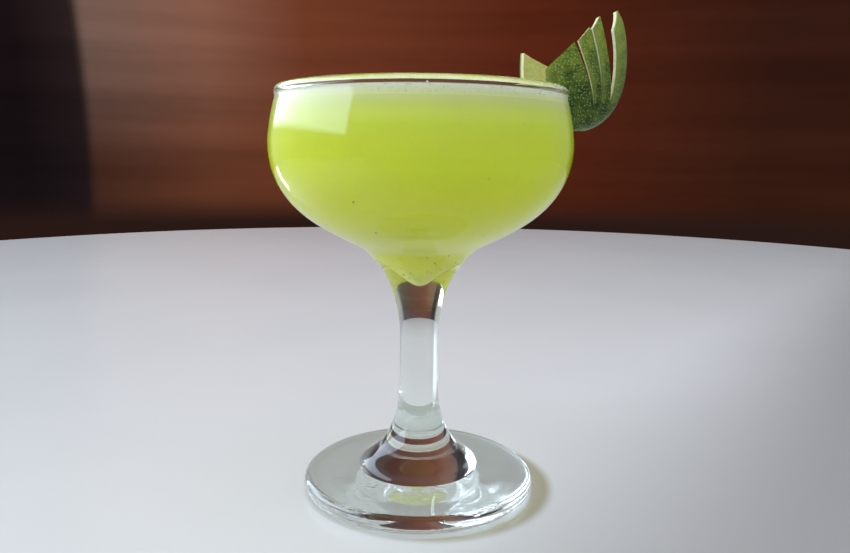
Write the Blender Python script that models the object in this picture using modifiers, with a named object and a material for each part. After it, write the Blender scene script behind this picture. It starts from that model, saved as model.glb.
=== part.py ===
"""A cloudy green cocktail served in a coupe glass, with a lime peel fan on the rim.

The glass is one pressed piece turned about the Z axis, and it stands on Z = 0.
The drink and the froth on it fill the bowl. The peel is a thin shell of lime skin,
bent round like a letter C, with a fan of four fingers cut in its near wall.
Sizes below are in millimetres, and MM turns them into metres.
"""

import math

import bmesh
import bpy
from mathutils import Vector

MM = 0.001
GAP = 0.3
TURN_STEPS = 54
FACET_ROOM = 0.05

# Foot of the glass
FOOT_RADIUS = 36.2
FOOT_EDGE_HEIGHT = 5.3
FOOT_EDGE_REACH = 3.0
FOOT_RISE_RADIUS = 18.8
FOOT_RISE_HEIGHT = 6.9
BELL_RADIUS = 12.7
BELL_HEIGHT = 12.9

# Stem of the glass
STEM_RADIUS = 6.0
STEM_LOW = 33.5
STEM_HIGH = 48.5

# Outside of the bowl
KNEE_RADIUS = 17.0
KNEE_HEIGHT = 75.3
BOWL_RADIUS = 45.05
BOWL_HEIGHT = 106.3
RIM_RADIUS = 42.0
RIM_BEAD = 0.95
RIM_BEAD_HALF_HEIGHT = 1.65
RIM_HEIGHT = 122.75
NECK_RADIUS = 42.75
NECK_HEIGHT = 119.9

# Inside of the bowl
TIP_HEIGHT = 66.3
WELL_RADIUS = 12.0
WELL_HEIGHT = 79.4
SHOULDER_RADIUS = 29.4
SHOULDER_HEIGHT = 83.6
INNER_RADIUS = 43.1
NECK_INNER_RADIUS = 41.15
NECK_INNER_HEIGHT = 120.9

# Drink and froth
DRINK_LEVEL = 120.75
FROTH_THICKNESS = 3.0

# Lime peel: a tall lime whose middle is here, with its half sizes
LIME_X = 45.8
LIME_Y = 10.5
LIME_Z = 133.0
LIME_HALF_X = 17.4
LIME_HALF_Y = 10.0
LIME_HALF_DOWN = 21.7
LIME_HALF_UP = 26.0
LIME_SQUARENESS = 2.35
PEEL_THICKNESS = 1.5
PEEL_TIP_CUT = 0.3
SLIT_FOOT_HEIGHT = 119.4
PEEL_DIP_HEIGHT = 118.1
SLOT_CORNER = 0.6
TWIST_RISE = 1.6

# Fingers of the peel, one after the other round the lime: angles in degrees from +X.
# Each edge is (angle at the foot, angle at the top, how early it bends over).
# low and high are the heights of the top cut at its two ends, turn is the twist in degrees.
FINGERS = [
    dict(left=(-120.0, -121.4, 1.0), right=(-65.9, -93.0, 1.0), low=129.3, high=137.1,
         columns=9, turn=0.0),
    dict(left=(-64.4, -89.0, 1.0), right=(-56.7, -77.0, 1.0), low=137.6, high=141.5,
         columns=3, turn=6.0),
    dict(left=(-55.3, -74.5, 1.0), right=(-37.8, -63.0, 0.65), low=141.1, high=144.9,
         columns=4, turn=24.0),
    dict(left=(-35.6, -47.5, 0.5), right=(3.0, 4.0, 1.0), low=141.3, high=147.1,
         columns=6, turn=6.0),
    dict(left=(5.0, 5.0, 1.0), right=(149.0, 149.0, 1.0), low=122.9, high=135.8,
         columns=18, turn=0.0),
]
TIP_ACROSS = 1 / 3
TIP_FALL = 0.8
FINGER_ROWS = 8
CUP_ROWS = 7


def clear_scene():
    for old in list(bpy.data.objects):
        bpy.data.objects.remove(old, do_unlink=True)


def new_collection(name):
    group = bpy.data.collections.new(name)
    bpy.context.scene.collection.children.link(group)
    return group


def material(name, colour, roughness, transmission=0.0, ior=1.45):
    made = bpy.data.materials.new(name)
    made.use_nodes = True
    shader = made.node_tree.nodes["Principled BSDF"]
    shader.inputs["Base Color"].default_value = (*colour, 1.0)
    shader.inputs["Roughness"].default_value = roughness
    shader.inputs["Metallic"].default_value = 0.0
    shader.inputs["Transmission Weight"].default_value = transmission
    shader.inputs["IOR"].default_value = ior
    made.diffuse_color = (*colour, 1.0)
    return made


def curve(start, start_handle, end_handle, end, steps):
    """Points of a cubic curve after its start, up to and with its end."""
    points = []
    for step in range(1, steps + 1):
        t = step / steps
        weights = ((1 - t) ** 3, 3 * t * (1 - t) ** 2, 3 * t * t * (1 - t), t ** 3)
        corners = (start, start_handle, end_handle, end)
        points.append(tuple(sum(w * c[i] for w, c in zip(weights, corners)) for i in (0, 1)))
    return points


def arc(centre, half_width, half_height, start_angle, end_angle, steps):
    """Points along a stretch of an ellipse, both ends included."""
    points = []
    for step in range(steps + 1):
        angle = math.radians(start_angle + (end_angle - start_angle) * step / steps)
        points.append((centre[0] + half_width * math.cos(angle),
                       centre[1] + half_height * math.sin(angle)))
    return points


def inside_of_bowl():
    """The bowl's inner wall, from the pointed bottom of the well up to the rim."""
    tip = (0.0, TIP_HEIGHT)
    well = (WELL_RADIUS, WELL_HEIGHT)
    shoulder = (SHOULDER_RADIUS, SHOULDER_HEIGHT)
    widest = (INNER_RADIUS, BOWL_HEIGHT)
    neck = (NECK_INNER_RADIUS, NECK_INNER_HEIGHT)
    points = [tip]
    points += curve(tip, (2.4, TIP_HEIGHT), (5.2, 75.0), well, 7)
    points += curve(well, (16.5, 82.3), (26.1, 82.2), shoulder, 3)
    points += curve(shoulder, (38.5, 90.4), (INNER_RADIUS, 96.0), widest, 8)
    points += curve(widest, (INNER_RADIUS, 110.5), (41.8, 116.8), neck, 4)
    return points


def outside_of_bowl():
    """The bowl's outer wall, from the rim down to the knee above the stem."""
    neck = (NECK_RADIUS, NECK_HEIGHT)
    widest = (BOWL_RADIUS, BOWL_HEIGHT)
    knee = (KNEE_RADIUS, KNEE_HEIGHT)
    points = [neck]
    points += curve(neck, (43.6, 117.2), (BOWL_RADIUS, 110.6), widest, 4)
    points += curve(widest, (BOWL_RADIUS, 85.0), (21.7, 79.0), knee, 11)
    return points


def stem_and_foot():
    """From the knee down the stem, over the foot and along its flat underside."""
    knee = (KNEE_RADIUS, KNEE_HEIGHT)
    top = (STEM_RADIUS, STEM_HIGH)
    low = (STEM_RADIUS, STEM_LOW)
    bell = (BELL_RADIUS, BELL_HEIGHT)
    bell_foot = (FOOT_RISE_RADIUS, FOOT_RISE_HEIGHT)
    flat = (FOOT_RADIUS - FOOT_EDGE_REACH, FOOT_EDGE_HEIGHT)
    points = curve(knee, (7.8, 67.5), (6.1, 55.5), top, 8)
    points.append(low)
    points += curve(low, (STEM_RADIUS, 23.5), (9.0, 16.5), bell, 7)
    points += curve(bell, (15.2, 10.5), (18.5, 9.2), bell_foot, 4)
    points += curve(bell_foot, (22.5, 6.5), (29.0, 5.6), flat, 3)
    middle = (flat[0], FOOT_EDGE_HEIGHT / 2)
    points += arc(middle, FOOT_EDGE_REACH, FOOT_EDGE_HEIGHT / 2, 72, -90, 7)
    points.append((0.0, 0.0))
    return points


def turned(name, profile, group, finish=None):
    """A solid of revolution: its profile runs down the outer side, top to bottom."""
    mesh = bpy.data.meshes.new(name)
    points = [(radius * MM, 0.0, height * MM) for radius, height in profile]
    mesh.from_pydata(points, [(i, i + 1) for i in range(len(points) - 1)], [])
    made = bpy.data.objects.new(name, mesh)
    group.objects.link(made)
    screw = made.modifiers.new("turn", "SCREW")
    screw.axis = "Z"
    screw.steps = TURN_STEPS
    screw.render_steps = TURN_STEPS
    screw.use_merge_vertices = True
    screw.merge_threshold = 0.00001
    screw.use_smooth_shade = True
    if finish:
        made.data.materials.append(finish)
    return made


def moved_in(points, distance):
    """A profile moved to the inner side of the wall that it follows."""
    moved = []
    for index, (radius, height) in enumerate(points):
        before = points[max(index - 1, 0)]
        after = points[min(index + 1, len(points) - 1)]
        along = Vector((after[0] - before[0], after[1] - before[1])).normalized()
        if radius == 0.0:
            along = Vector((1.0, 0.0))
        moved.append((max(radius - along.y * distance, 0.0), height + along.x * distance))
    return moved


def radius_at(points, height):
    """The radius of a rising profile at one height."""
    for (low_r, low_z), (high_r, high_z) in zip(points, points[1:]):
        if low_z <= height <= high_z:
            return low_r + (high_r - low_r) * (height - low_z) / (high_z - low_z)
    return points[-1][0]


def make_glass(group):
    middle = (RIM_RADIUS, RIM_HEIGHT - RIM_BEAD_HALF_HEIGHT)
    bead = arc(middle, RIM_BEAD, RIM_BEAD_HALF_HEIGHT, 180, -25, 7)
    profile = inside_of_bowl() + bead + outside_of_bowl() + stem_and_foot()
    clear = material("clear glass", (0.93, 0.96, 0.94), 0.02, transmission=1.0, ior=1.52)
    return turned("glass", profile, group, clear)


def make_drink(group):
    """The drink follows the wall of the bowl and stops just under the froth."""
    wall = moved_in(inside_of_bowl(), GAP)
    level = DRINK_LEVEL - FROTH_THICKNESS - GAP
    side = [point for point in wall if point[1] < level]
    profile = [(0.0, level), (radius_at(wall, level), level)] + side[::-1]
    cloudy = material("cloudy lime drink", (0.42, 0.52, 0.05), 0.15)
    return turned("drink", profile, group, cloudy)


def make_froth(group):
    wall = moved_in(inside_of_bowl(), GAP)
    low = DRINK_LEVEL - FROTH_THICKNESS
    side = [point for point in wall if low < point[1] < DRINK_LEVEL]
    profile = [(0.0, DRINK_LEVEL), (radius_at(wall, DRINK_LEVEL), DRINK_LEVEL)]
    profile += side[::-1]
    profile += [(radius_at(wall, low), low), (0.0, low)]
    pale = material("pale froth", (0.60, 0.68, 0.32), 0.45)
    return turned("froth", profile, group, pale)


def lime_point(angle, height):
    """A point of the lime's skin, and the skin's outward direction there."""
    rise = height - LIME_Z
    if rise < 0:
        width = (1 - (-rise / LIME_HALF_DOWN) ** LIME_SQUARENESS) ** (1 / LIME_SQUARENESS)
    else:
        width = math.sqrt(1 - (rise / LIME_HALF_UP) ** 2)
    turn = math.radians(angle)
    point = Vector((LIME_X + LIME_HALF_X * width * math.cos(turn),
                    LIME_Y + LIME_HALF_Y * width * math.sin(turn), height))
    outward = Vector((math.cos(turn) / LIME_HALF_X, math.sin(turn) / LIME_HALF_Y, 0.0))
    return point, outward.normalized()


def edge_angle(edge, share):
    foot, top, bend = edge
    return foot + (top - foot) * share ** bend


def front_share(finger, across):
    """How far a point of a finger's end is from its left to its right, seen from the front."""
    first = math.cos(math.radians(finger["left"][1]))
    last = math.cos(math.radians(finger["right"][1]))
    here = finger["left"][1] + (finger["right"][1] - finger["left"][1]) * across
    return (math.cos(math.radians(here)) - first) / (last - first)


def top_height(finger, across):
    """The slanted cut at a finger's end, straight from the front. One finger has a tip."""
    low = finger["low"]
    high = finger["high"]
    share = front_share(finger, across)
    if finger is FINGERS[3]:
        tip = front_share(finger, TIP_ACROSS)
        if share > tip:
            return high - (high - low) * TIP_FALL * (share - tip) / (1 - tip)
        return low + (high - low) * share / tip
    return low + (high - low) * share


def finger_point(finger, across, up, grow):
    """A point of one finger, with its twist: its left edge is turned outward."""
    height = SLIT_FOOT_HEIGHT + (top_height(finger, across) + grow - SLIT_FOOT_HEIGHT) * up
    left = edge_angle(finger["left"], up)
    right = edge_angle(finger["right"], up)
    point, outward = lime_point(left + (right - left) * across, height)
    first, _ = lime_point(left, height)
    last, _ = lime_point(right, height)
    lift = math.tan(math.radians(finger["turn"])) * (0.5 - across) * (last - first).length
    return point + outward * lift * min(1.0, TWIST_RISE * up)


def peel_sheet(name, thickness, offset, grow, group):
    """The peel's skin as an open sheet, thickened inward."""
    net = bmesh.new()
    spread = math.degrees(grow / LIME_HALF_Y)
    lowest = math.acos(PEEL_TIP_CUT ** (LIME_SQUARENESS / 2))
    drop = (LIME_Z - SLIT_FOOT_HEIGHT) / LIME_HALF_DOWN
    highest = math.asin(drop ** (LIME_SQUARENESS / 2))
    columns = []
    for finger in FINGERS:
        shares = [step / finger["columns"] for step in range(finger["columns"] + 1)]
        columns += [(finger, share) for share in shares]

    def cup_angle(finger, share):
        angle = edge_angle(finger["left"], 0.0)
        angle += (edge_angle(finger["right"], 0.0) - angle) * share
        if finger is FINGERS[0]:
            angle -= spread * (1 - share)
        if finger is FINGERS[-1]:
            angle += spread * share
        return angle

    rows = []
    for row in range(CUP_ROWS + 1):
        tilt = lowest + (highest - lowest) * row / CUP_ROWS
        height = LIME_Z - LIME_HALF_DOWN * math.sin(tilt) ** (2 / LIME_SQUARENESS)
        points = [lime_point(cup_angle(*column), height)[0] for column in columns]
        rows.append([net.verts.new(point * MM) for point in points])
    for lower, upper in zip(rows, rows[1:]):
        for i in range(len(columns) - 1):
            net.faces.new((lower[i], lower[i + 1], upper[i + 1], upper[i]))

    start = 0
    for finger in FINGERS:
        count = finger["columns"] + 1
        below = rows[-1][start:start + count]
        for row in range(1, FINGER_ROWS + 1):
            up = row / FINGER_ROWS
            above = []
            for step in range(count):
                across = step / finger["columns"]
                point = finger_point(finger, across, up, grow)
                if finger is FINGERS[0] and grow:
                    point.x -= grow * (1 - across)
                if finger is FINGERS[-1] and grow:
                    point.x -= grow * across
                above.append(net.verts.new(point * MM))
            for i in range(count - 1):
                net.faces.new((below[i], below[i + 1], above[i + 1], above[i]))
            below = above
        start += count

    mesh = bpy.data.meshes.new(name)
    net.to_mesh(mesh)
    net.free()
    made = bpy.data.objects.new(name, mesh)
    group.objects.link(made)
    shell = made.modifiers.new("thickness", "SOLIDIFY")
    shell.thickness = thickness * MM
    shell.offset = offset
    shell.use_even_offset = False
    return made


def hide_cutter(cutter):
    cutter.hide_render = True
    cutter.display_type = "WIRE"


def cut(target, cutter):
    boolean = target.modifiers.new("cut by " + cutter.name, "BOOLEAN")
    boolean.operation = "DIFFERENCE"
    boolean.object = cutter


def make_rim_cutter(group):
    """The room that the peel leaves for the glass wall, and for the drink under it."""
    wall = moved_in(inside_of_bowl(), GAP + FACET_ROOM)
    top = RIM_HEIGHT + GAP
    inner = RIM_RADIUS - RIM_BEAD - GAP
    outer = RIM_RADIUS + RIM_BEAD + GAP
    outside = [(r + GAP + FACET_ROOM, z) for r, z in outside_of_bowl() if z > BOWL_HEIGHT - 1]
    dip = radius_at(wall, PEEL_DIP_HEIGHT)
    profile = [(0.0, PEEL_DIP_HEIGHT), (dip, PEEL_DIP_HEIGHT), (inner, NECK_INNER_HEIGHT)]
    profile += [(inner, top - SLOT_CORNER), (inner + SLOT_CORNER, top)]
    profile += [(outer - SLOT_CORNER, top), (outer, top - SLOT_CORNER)]
    profile += outside
    profile += [(BOWL_RADIUS, BOWL_HEIGHT - 6.0), (0.0, BOWL_HEIGHT - 6.0)]
    cutter = turned("rim slot", profile, group)
    hide_cutter(cutter)
    return cutter


def make_peel(group, cutters):
    peel = peel_sheet("lime_peel", PEEL_THICKNESS, -1.0, 0.0, group)
    cut(peel, make_rim_cutter(cutters))
    skin = material("lime skin", (0.09, 0.20, 0.02), 0.38)
    peel.data.materials.append(skin)
    peel.data.shade_smooth()
    peel.data.set_sharp_from_angle(angle=math.radians(40))
    return peel


def main():
    clear_scene()
    parts = new_collection("cocktail")
    cutters = new_collection("cutters")
    make_glass(parts)
    make_drink(parts)
    froth = make_froth(parts)
    make_peel(parts, cutters)
    room = PEEL_THICKNESS + 2 * GAP
    slot = peel_sheet("peel slot", room, -1.0 + 2 * GAP / room, GAP, cutters)
    hide_cutter(slot)
    cut(froth, slot)


main()
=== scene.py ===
# %% [markdown]
# # A green cocktail in a coupe glass, one finish at a time
#
# The measured model is already there: a glass, the drink in it, the froth on top and a fan
# cut from lime peel. This file dresses it. Each step first says what the real thing is and
# how it could be made, and then makes it. The model's places and sizes never change.

import math
import random

import bmesh
import bpy
from mathutils import Matrix, Vector


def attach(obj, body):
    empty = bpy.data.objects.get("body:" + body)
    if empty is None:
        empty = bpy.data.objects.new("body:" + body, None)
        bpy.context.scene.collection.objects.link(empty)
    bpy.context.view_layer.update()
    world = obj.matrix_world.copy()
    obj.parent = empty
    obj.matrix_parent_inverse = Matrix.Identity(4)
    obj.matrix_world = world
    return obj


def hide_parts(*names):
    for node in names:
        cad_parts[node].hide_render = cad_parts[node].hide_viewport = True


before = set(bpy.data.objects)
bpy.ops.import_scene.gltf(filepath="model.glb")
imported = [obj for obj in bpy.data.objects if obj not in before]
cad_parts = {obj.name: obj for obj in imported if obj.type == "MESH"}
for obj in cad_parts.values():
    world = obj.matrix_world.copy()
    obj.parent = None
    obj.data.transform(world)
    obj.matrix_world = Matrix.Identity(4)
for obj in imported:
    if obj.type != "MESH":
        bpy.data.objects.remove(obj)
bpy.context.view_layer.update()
MM = 0.001
print("nodes in the model:", sorted(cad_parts))

# %% [markdown]
# ## Small helpers
#
# A curve, a lathe and a material are needed again and again. Each could be written out where
# it is used, but a helper that does one job keeps the steps below short. Heights and radii
# are in millimetres, as on a glassmaker's drawing, and MM turns them into Blender's metres.

# %% Points along a smooth curve


def curve(start, start_pull, end_pull, end, steps):
    """Points of a cubic curve after its start, up to and with its end."""
    points = []
    for step in range(1, steps + 1):
        t = step / steps
        weights = ((1 - t) ** 3, 3 * t * (1 - t) ** 2, 3 * t * t * (1 - t), t ** 3)
        corners = (start, start_pull, end_pull, end)
        points.append(tuple(sum(w * c[i] for w, c in zip(weights, corners)) for i in (0, 1)))
    return points


def arc(centre, half_width, half_height, first, last, steps):
    """Points along a stretch of an ellipse, angles in degrees."""
    points = []
    for step in range(steps + 1):
        angle = math.radians(first + (last - first) * step / steps)
        points.append((centre[0] + half_width * math.cos(angle),
                       centre[1] + half_height * math.sin(angle)))
    return points


# %% A lathe that turns a profile into a closed body
ON_AXIS = 0.001
SHARP_FROM = math.radians(40)


def put_in_scene(name, data):
    """A new object for a mesh, a lamp or a camera, linked to the scene."""
    made = bpy.data.objects.new(name, data)
    bpy.context.scene.collection.objects.link(made)
    return made


def turn_on_lathe(name, profile, turns):
    """The profile runs along the body's surface, from the axis back to the axis."""
    net = bmesh.new()
    rings = []
    for radius, height in profile:
        if radius < ON_AXIS:
            rings.append([net.verts.new((0, 0, height * MM))] * turns)
            continue
        ring = []
        for step in range(turns):
            angle = 2 * math.pi * step / turns
            ring.append(net.verts.new((radius * math.cos(angle) * MM,
                                       radius * math.sin(angle) * MM, height * MM)))
        rings.append(ring)
    for upper, lower in zip(rings, rings[1:]):
        for i in range(turns):
            j = (i + 1) % turns
            corners = [upper[i], lower[i], lower[j], upper[j]]
            corners = [v for k, v in enumerate(corners) if v not in corners[:k]]
            if len(corners) > 2:
                net.faces.new(corners)
    bmesh.ops.recalc_face_normals(net, faces=net.faces)
    mesh = bpy.data.meshes.new(name)
    net.to_mesh(mesh)
    net.free()
    mesh.shade_smooth()
    mesh.set_sharp_from_angle(angle=SHARP_FROM)
    return put_in_scene(name, mesh)


# %% A material, its nodes and its colour ramps


def new_finish(name):
    """A material with its node tree and its main shader."""
    made = bpy.data.materials.new(name)
    made.use_nodes = True
    return made, made.node_tree, made.node_tree.nodes["Principled BSDF"]


def add_node(tree, kind, values=None, **settings):
    """One node, with its settings and the start values of its sockets."""
    node = tree.nodes.new(kind)
    for key, value in settings.items():
        setattr(node, key, value)
    for key, value in (values or {}).items():
        node.inputs[key].default_value = value
    return node


def ramp(tree, source, stops):
    """A colour ramp fed by a value: stops are (place, colour)."""
    node = add_node(tree, "ShaderNodeValToRGB")
    while len(node.color_ramp.elements) < len(stops):
        node.color_ramp.elements.new(0.5)
    for element, (place, colour) in zip(node.color_ramp.elements, stops):
        element.position = place
        element.color = (*colour, 1.0)
    tree.links.new(source, node.inputs["Fac"])
    return node.outputs["Color"]


def share_ramp(tree, source, *stops):
    """A ramp from black to white: stops are (place, share)."""
    return ramp(tree, source, [(place, (share, share, share)) for place, share in stops])


# %% Patterns and measures on a surface


def grain(tree, scale, detail=4.0, roughness=0.5):
    """Soft noise in the object's own coordinates, in metres."""
    place = add_node(tree, "ShaderNodeTexCoord")
    node = add_node(tree, "ShaderNodeTexNoise",
                    {"Scale": scale, "Detail": detail, "Roughness": roughness})
    tree.links.new(place.outputs["Object"], node.inputs["Vector"])
    return node.outputs["Fac"]


def ranged(tree, source, low, high, smooth=True):
    """A value moved from low..high to 0..1."""
    kind = "SMOOTHSTEP" if smooth else "LINEAR"
    node = add_node(tree, "ShaderNodeMapRange", {"From Min": low, "From Max": high},
                    interpolation_type=kind)
    tree.links.new(source, node.inputs["Value"])
    return node.outputs[0]


def height_share(tree, low, high, smooth=True):
    """How far up a point is between two heights in millimetres, from 0 to 1."""
    place = add_node(tree, "ShaderNodeTexCoord")
    parts = add_node(tree, "ShaderNodeSeparateXYZ")
    tree.links.new(place.outputs["Object"], parts.inputs[0])
    return ranged(tree, parts.outputs["Z"], low * MM, high * MM, smooth)


def near_share(tree, middle, far, near):
    """How near a point is to a place in the object's coordinates, from 0 to 1."""
    place = add_node(tree, "ShaderNodeTexCoord")
    node = add_node(tree, "ShaderNodeVectorMath", operation="DISTANCE")
    node.inputs[1].default_value = middle
    tree.links.new(place.outputs["Object"], node.inputs[0])
    return ranged(tree, node.outputs["Value"], far, near)


# %% Sums with values and colours


def multiplied(tree, first, second):
    """The product of two values."""
    node = add_node(tree, "ShaderNodeMath", operation="MULTIPLY")
    tree.links.new(first, node.inputs[0])
    tree.links.new(second, node.inputs[1])
    return node.outputs[0]


def dimmed(tree, colour, parts):
    """A colour with each of its three parts multiplied."""
    node = add_node(tree, "ShaderNodeVectorMath", operation="MULTIPLY")
    node.inputs[1].default_value = parts
    tree.links.new(colour, node.inputs[0])
    return node.outputs["Vector"]


def varied(tree, colour, pattern, limits, least, most):
    """A colour made weaker and stronger by a pattern, from least to most times."""
    strength = add_node(tree, "ShaderNodeMapRange", {"From Min": limits[0], "From Max": limits[1],
                                                     "To Min": least, "To Max": most})
    tree.links.new(pattern, strength.inputs["Value"])
    node = add_node(tree, "ShaderNodeVectorMath", operation="SCALE")
    tree.links.new(colour, node.inputs[0])
    tree.links.new(strength.outputs[0], node.inputs["Scale"])
    return node.outputs["Vector"]


def blend_colours(tree, share, first, second):
    """Two colours mixed by a share. A colour may be a socket or a plain colour."""
    node = add_node(tree, "ShaderNodeMix", data_type="RGBA")
    tree.links.new(share, node.inputs["Factor"])
    for colour, socket in ((first, node.inputs["A"]), (second, node.inputs["B"])):
        if isinstance(colour, tuple):
            socket.default_value = (*colour, 1.0)
        else:
            tree.links.new(colour, socket)
    return node.outputs["Result"]


# %% Relief, and the last step of every piece


def bump(tree, shader, height, strength, distance):
    """Fine relief in the shading, from a pattern of heights."""
    node = add_node(tree, "ShaderNodeBump", {"Strength": strength, "Distance": distance})
    tree.links.new(height, node.inputs["Height"])
    tree.links.new(node.outputs["Normal"], shader.inputs["Normal"])


def dress(piece, finish, node=None):
    """Gives a piece its finish, lets it ride on the model and hides the measured part that it
    stands for, if any.
    """
    piece.data.materials.clear()
    piece.data.materials.append(finish)
    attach(piece, "root")
    if node:
        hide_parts(node)
    print(piece.name, "has", len(piece.data.polygons), "faces")


# %% [markdown]
# ## The camera
#
# The photo was taken from close by, a little below the rim and well above the foot, so the
# rim arches up and the foot shows its whole top. The distance, height and tilt come from
# fitting the rim's and the foot's ellipses. A long lens from far off would be easier to
# set, but it would flatten both ellipses, so the camera stands where it really stood.
#
# Light is mirrored to and fro many times inside a thick foot. With the usual few mirrorings
# its edges would stay black, so many more are allowed.

# %% Set the camera where the photo was taken
PHOTO_WIDTH = 850
FOCAL_PIXELS = 719.0
CAMERA_PLACE = (0.00164, -0.219, 0.10175)
CAMERA_TILT = 9.05
CAMERA_ROLL = 0.6
MIRRORINGS = 48

lens = bpy.data.cameras.new("camera")
lens.sensor_width = 36.0
lens.lens = FOCAL_PIXELS * lens.sensor_width / PHOTO_WIDTH
lens.clip_start = 0.01
lens.clip_end = 20.0
camera = put_in_scene("camera", lens)
turn = Matrix.Rotation(math.radians(90 - CAMERA_TILT), 4, "X")
roll = Matrix.Rotation(math.radians(CAMERA_ROLL), 4, "Z")
camera.matrix_world = Matrix.Translation(CAMERA_PLACE) @ turn @ roll
scene = bpy.context.scene
scene.camera = camera
scene.view_settings.view_transform = "Standard"
scene.cycles.max_bounces = MIRRORINGS
scene.cycles.transmission_bounces = MIRRORINGS
scene.cycles.glossy_bounces = MIRRORINGS
print("lens in millimetres:", round(lens.lens, 2))

# %% [markdown]
# ## The table
#
# A glass has almost no colour of its own: it shows what is round it. So the plain round
# table matters here as much as the glass does. It could be a flat disc, but a cylinder with
# a bevel keeps the soft line along its far edge. The real light falls off towards the right
# corner, and a faint warm crescent of shadow lies beside the foot, where the thick glass
# bends the light. The glass casts no shadow here, so that the lamps reach the drink and the
# table through it. So the shade in the corner, the shadow crescent and a dimmer shadow disc
# under the foot are painted into the table's colour.

# %% A round top with a bevelled edge
TABLE_RADIUS = 0.69
TABLE_MIDDLE = (0.0, 0.236)
TABLE_THICKNESS = 0.025
TABLE_CLEARANCE = 0.0002
TABLE_TURNS = 256
TABLE_ROUNDING = 0.006

net = bmesh.new()
bmesh.ops.create_cone(net, cap_ends=True, segments=TABLE_TURNS, radius1=TABLE_RADIUS,
                      radius2=TABLE_RADIUS, depth=TABLE_THICKNESS)
table_mesh = bpy.data.meshes.new("table_top")
net.to_mesh(table_mesh)
net.free()
table = put_in_scene("table_top", table_mesh)
table.location = (*TABLE_MIDDLE, -TABLE_THICKNESS / 2 - TABLE_CLEARANCE)
rounding = table.modifiers.new("rounded edge", "BEVEL")
rounding.width = TABLE_ROUNDING
rounding.segments = 4
print("width of the table in metres:", 2 * TABLE_RADIUS)

# %% Its pale finish, with painted shade in the right corner
TABLE_COLOURS = ((0.60, 0.64, 0.68), (0.63, 0.665, 0.71))
PAINTED_CORNER_SHADE = (0.315, 0.325, 0.35)
PAINTED_SHADE_WAY = (1.0, -0.8, 0.0)
PAINTED_SHADE_REACH = (0.185, 0.335)

table_finish, tree, shader = new_finish("pale table")
colour = ramp(tree, grain(tree, 9.0), list(zip((0.3, 0.7), TABLE_COLOURS)))
place = add_node(tree, "ShaderNodeTexCoord")
aslant = add_node(tree, "ShaderNodeVectorMath", operation="DOT_PRODUCT")
aslant.inputs[1].default_value = PAINTED_SHADE_WAY
tree.links.new(place.outputs["Object"], aslant.inputs[0])
# Painted shade: the table's colour darkens towards the right corner, where the light falls off.
painted_corner_shade_share = ranged(tree, aslant.outputs["Value"], *PAINTED_SHADE_REACH)
shaded = blend_colours(tree, painted_corner_shade_share, colour, PAINTED_CORNER_SHADE)
shader.inputs["Roughness"].default_value = 0.2
shader.inputs["Specular IOR Level"].default_value = 0.32
table.data.materials.append(table_finish)
print("finish of the table:", table_finish.name)

# %% A painted shadow crescent beside the foot, and a painted shadow disc under it
PAINTED_SHADOW_PLACE = (0.0042, 0.0008)
PAINTED_CRESCENT_SHADOW_REACH = (0.0402, 0.0360)
PAINTED_CRESCENT_SHADOW = (0.58, 0.54, 0.38)
PAINTED_UNDER_FOOT_SHADOW_REACH = (0.0368, 0.0352)
PAINTED_UNDER_FOOT_SHADOW = (0.80, 0.81, 0.76)

table_top = TABLE_THICKNESS / 2
beside = (PAINTED_SHADOW_PLACE[0], PAINTED_SHADOW_PLACE[1] - TABLE_MIDDLE[1], table_top)
# Painted shadow: a warm darker crescent on the table beside the foot, off to its right.
painted_crescent_shadow_share = near_share(tree, beside, *PAINTED_CRESCENT_SHADOW_REACH)
crescent = blend_colours(tree, painted_crescent_shadow_share, shaded, dimmed(tree, shaded, PAINTED_CRESCENT_SHADOW))
# Painted shadow: a dimmer disc on the table under the foot.
painted_under_foot_shadow_share = near_share(tree, (0.0, -TABLE_MIDDLE[1], table_top), *PAINTED_UNDER_FOOT_SHADOW_REACH)
with_painted_shadows = blend_colours(tree, painted_under_foot_shadow_share, crescent, dimmed(tree, shaded, PAINTED_UNDER_FOOT_SHADOW))
tree.links.new(with_painted_shadows, shader.inputs["Base Color"])
print("crescent's middle, in the table's coordinates:", beside)

# %% [markdown]
# ## The backdrop
#
# Clear glass also shows what is behind it, here a soft dark brown with a nearly black strip
# at the far left. It could be a large board, but a board near enough to be seen would also
# block light. So it is the world's colour, chosen by direction. Two ramps hold the browns
# from left to right, one high and one lower down. A stretched noise gives faint level
# streaks, the part just over the table is darker, and beside and behind the camera it is
# all pale, which the glass shows in its edges.

# %% Browns across the view
VIEW_SPAN = (-0.5, 0.5)
VIEW_RISE = (-0.03, 0.16)
HIGH_BROWNS = [
    (0.02, (0.009, 0.005, 0.006)),
    (0.077, (0.021, 0.012, 0.012)),
    (0.087, (0.150, 0.090, 0.072)),
    (0.22, (0.210, 0.090, 0.058)),
    (0.34, (0.150, 0.041, 0.019)),
    (0.62, (0.088, 0.017, 0.007)),
    (0.92, (0.032, 0.010, 0.006)),
]
LOW_BROWNS = [
    (0.02, (0.008, 0.005, 0.006)),
    (0.077, (0.013, 0.008, 0.009)),
    (0.087, (0.052, 0.020, 0.013)),
    (0.22, (0.112, 0.036, 0.018)),
    (0.34, (0.120, 0.032, 0.014)),
    (0.62, (0.092, 0.018, 0.008)),
    (0.92, (0.036, 0.011, 0.006)),
]

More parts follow.
